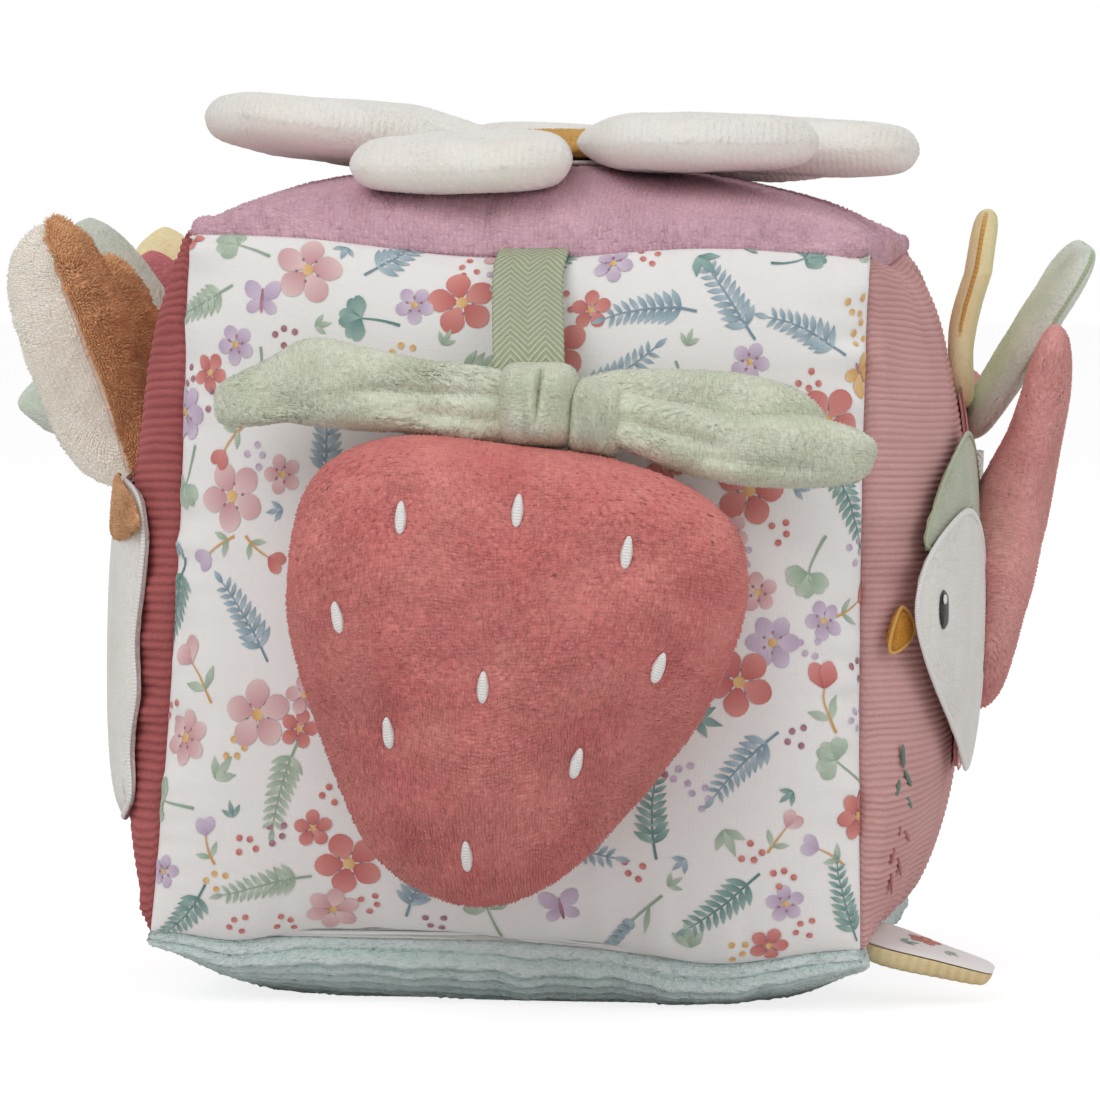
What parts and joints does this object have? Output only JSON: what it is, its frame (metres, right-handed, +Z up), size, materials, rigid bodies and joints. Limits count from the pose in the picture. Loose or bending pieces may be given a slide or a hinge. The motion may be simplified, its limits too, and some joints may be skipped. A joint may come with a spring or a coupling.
{
  "type": "soft activity block",
  "caption": "Stuffed fabric block for a baby with a lift-up strawberry, a petalled flower on top, a bird with a wing, a rabbit with soft ears and tabs to handle.",
  "frame": {"origin": "centre of the flat patch of the bottom panel that the block stands on", "axes": "+Z up, the printed front panel with the strawberry faces -Y, the bird is on the +X side and the rabbit on the -X side"},
  "size_m": [0.258, 0.225, 0.2006],
  "materials": {
    "printed_cotton": "off-white cotton with a small floral print",
    "green_velour": "short-pile velour",
    "red_corduroy": "fine corduroy",
    "pink_corduroy": "fine corduroy",
    "lavender_velour": "short-pile velour",
    "mint_plush": "wide-rib plush",
    "fibre_filling": "loose polyester fibre",
    "rattle_plastic": "smooth",
    "rattle_ball_plastic": "smooth",
    "strawberry_velour": "short-pile velour",
    "sage_tape": "herringbone woven tape",
    "leaf_plush": "soft plush",
    "petal_plush": "cream plush with a ribbed underside",
    "ochre_velour": "short-pile velour",
    "wing_velour": "short-pile velour",
    "cream_applique": "short plush with a stitched edge",
    "cap_cloth": "woven cloth",
    "beak_cloth": "satin stitching",
    "tab_yellow": "short-pile velour",
    "tab_green": "short-pile velour",
    "tab_pink": "fine corduroy",
    "tab_red": "fine corduroy",
    "ear_cream_plush": "long-pile plush",
    "ear_brown_plush": "long-pile plush",
    "flap_ribbed": "corduroy",
    "white_tape": "woven tape"
  },
  "bodies": {
    "block": {"panel_front": "printed_cotton", "panel_back": "green_velour", "panel_left": "red_corduroy", "panel_right": "pink_corduroy", "panel_top": "lavender_velour", "panel_bottom": "mint_plush", "stuffing_front": "fibre_filling", "stuffing_back": "fibre_filling", "rattle_cup_upper": "rattle_plastic", "rattle_cup_lower": "rattle_plastic", "rattle_ball_1": "rattle_ball_plastic", "rattle_ball_2": "rattle_ball_plastic", "rattle_ball_3": "rattle_ball_plastic", "flower_base": "petal_plush", "flower_centre": "ochre_velour", "bird_body": "wing_velour", "bird_face": "cream_applique", "bird_cap": "cap_cloth", "bird_beak": "beak_cloth", "rabbit_head": "cream_applique", "rabbit_patch": "ear_brown_plush", "tape_loop": "white_tape"},
    "ribbon": {"ribbon": "sage_tape"},
    "strawberry": {"strawberry_front": "strawberry_velour", "strawberry_back": "strawberry_velour", "strawberry_stuffing": "fibre_filling", "leaf_knot": "leaf_plush"},
    "leaf_left": {"leaf_left": "leaf_plush"},
    "leaf_right": {"leaf_right": "leaf_plush"},
    "petal_1": {"petal_1": "petal_plush"},
    "petal_2": {"petal_2": "petal_plush"},
    "petal_3": {"petal_3": "petal_plush"},
    "petal_4": {"petal_4": "petal_plush"},
    "petal_5": {"petal_5": "petal_plush"},
    "petal_6": {"petal_6": "petal_plush"},
    "petal_7": {"petal_7": "petal_plush"},
    "wing": {"wing": "wing_velour"},
    "tail_tab_yellow": {"tail_tab_yellow": "tab_yellow"},
    "tail_tab_green": {"tail_tab_green": "tab_green"},
    "tail_tab_pink": {"tail_tab_pink": "tab_pink"},
    "ear_front": {"ear_front_cream": "ear_cream_plush", "ear_front_brown": "ear_brown_plush"},
    "ear_rear": {"ear_rear_cream": "ear_cream_plush", "ear_rear_brown": "ear_brown_plush"},
    "fan_tab_ochre": {"fan_tab_ochre": "tab_yellow"},
    "fan_tab_red": {"fan_tab_red": "tab_red"},
    "fan_tab_green_upper": {"fan_tab_green_upper": "tab_green"},
    "fan_tab_green_lower": {"fan_tab_green_lower": "tab_green"},
    "flap": {"flap_top": "printed_cotton", "flap_underside": "flap_ribbed"}
  },
  "joints": [
    {"name": "ribbon_lift", "type": "hinge", "parent": "block", "child": "ribbon", "pos_m": [0.0064, -0.07542, 0.16292], "axis": [-1, 0, 0], "range_deg": [0, 80]},
    {"name": "strawberry_lift", "type": "hinge", "parent": "ribbon", "child": "strawberry", "pos_m": [0.0064, -0.10315, 0.1442], "axis": [-1, 0, 0], "range_deg": [0, 40]},
    {"name": "leaf_left_bend", "type": "hinge", "parent": "strawberry", "child": "leaf_left", "pos_m": [-0.0017, -0.10315, 0.13505], "axis": [0, 0, 1], "range_deg": [0, 60], "stiffness_Nm_per_rad": 0.01},
    {"name": "leaf_right_bend", "type": "hinge", "parent": "strawberry", "child": "leaf_right", "pos_m": [0.0217, -0.10315, 0.13105], "axis": [0, 0, -1], "range_deg": [0, 60], "stiffness_Nm_per_rad": 0.01},
    {"name": "petal_1_lift", "type": "hinge", "parent": "block", "child": "petal_1", "pos_m": [-0.00105, -0.01754, 0.19064], "axis": [-0.9744, 0.225, 0], "range_deg": [0, 30]},
    {"name": "petal_2_lift", "type": "hinge", "parent": "block", "child": "petal_2", "pos_m": [0.01419, -0.0141, 0.19064], "axis": [-0.7834, -0.6215, 0], "range_deg": [0, 30]},
    {"name": "petal_3_lift", "type": "hinge", "parent": "block", "child": "petal_3", "pos_m": [0.021, -0.00004, 0.19064], "axis": [-0.0025, -1, 0], "range_deg": [0, 30]},
    {"name": "petal_4_lift", "type": "hinge", "parent": "block", "child": "petal_4", "pos_m": [0.01426, 0.01404, 0.19064], "axis": [0.7803, -0.6254, 0], "range_deg": [0, 30]},
    {"name": "petal_5_lift", "type": "hinge", "parent": "block", "child": "petal_5", "pos_m": [-0.00096, 0.01756, 0.19064], "axis": [0.9755, 0.2201, 0], "range_deg": [0, 30]},
    {"name": "petal_6_lift", "type": "hinge", "parent": "block", "child": "petal_6", "pos_m": [-0.0132, 0.00785, 0.19064], "axis": [0.4361, 0.8999, 0], "range_deg": [0, 30]},
    {"name": "petal_7_lift", "type": "hinge", "parent": "block", "child": "petal_7", "pos_m": [-0.01324, -0.00777, 0.19064], "axis": [-0.4316, 0.902, 0], "range_deg": [0, 30]},
    {"name": "wing_flap", "type": "hinge", "parent": "block", "child": "wing", "pos_m": [0.09931, 0.01419, 0.06072], "axis": [0, 1, 0], "range_deg": [0, 70], "stiffness_Nm_per_rad": 0.02},
    {"name": "tail_tab_yellow_bend", "type": "hinge", "parent": "block", "child": "tail_tab_yellow", "pos_m": [0.09448, 0.03686, 0.12962], "axis": [0, 1, 0], "range_deg": [-10, 15], "stiffness_Nm_per_rad": 0.01},
    {"name": "tail_tab_green_bend", "type": "hinge", "parent": "block", "child": "tail_tab_green", "pos_m": [0.09553, 0.03684, 0.12288], "axis": [0, 1, 0], "range_deg": [-10, 45], "stiffness_Nm_per_rad": 0.01},
    {"name": "tail_tab_pink_bend", "type": "hinge", "parent": "block", "child": "tail_tab_pink", "pos_m": [0.09108, 0.05496, 0.12421], "axis": [0, 0.4974, -0.8675], "range_deg": [-5, 40], "stiffness_Nm_per_rad": 0.01},
    {"name": "ear_front_fold", "type": "hinge", "parent": "block", "child": "ear_front", "pos_m": [-0.0943, -0.0199, 0.11433], "axis": [0, -1, 0], "range_deg": [0, 45], "stiffness_Nm_per_rad": 0.02},
    {"name": "ear_rear_fold", "type": "hinge", "parent": "block", "child": "ear_rear", "pos_m": [-0.097, 0.01822, 0.1134], "axis": [0, -1, 0], "range_deg": [0, 45], "stiffness_Nm_per_rad": 0.02},
    {"name": "fan_tab_ochre_bend", "type": "hinge", "parent": "block", "child": "fan_tab_ochre", "pos_m": [-0.08864, 0.0664, 0.1452], "axis": [0.9511, 0, 0.309], "range_deg": [-40, 10], "stiffness_Nm_per_rad": 0.01},
    {"name": "fan_tab_red_bend", "type": "hinge", "parent": "block", "child": "fan_tab_red", "pos_m": [-0.08958, 0.05555, 0.14283], "axis": [0.788, 0, 0.6157], "range_deg": [-12, 10], "stiffness_Nm_per_rad": 0.01},
    {"name": "fan_tab_green_upper_bend", "type": "hinge", "parent": "block", "child": "fan_tab_green_upper", "pos_m": [-0.09276, 0.04596, 0.13724], "axis": [0.848, 0, 0.5299], "range_deg": [-10, 3], "stiffness_Nm_per_rad": 0.01},
    {"name": "fan_tab_green_lower_bend", "type": "hinge", "parent": "block", "child": "fan_tab_green_lower", "pos_m": [-0.08947, 0.05526, 0.13266], "axis": [-0.0872, 0, 0.9962], "range_deg": [-40, 8], "stiffness_Nm_per_rad": 0.01},
    {"name": "flap_lift", "type": "hinge", "parent": "block", "child": "flap", "pos_m": [0.07952, -0.05293, 0.01408], "axis": [0, -1, 0], "range_deg": [-5, 60], "stiffness_Nm_per_rad": 0.01}
  ]
}
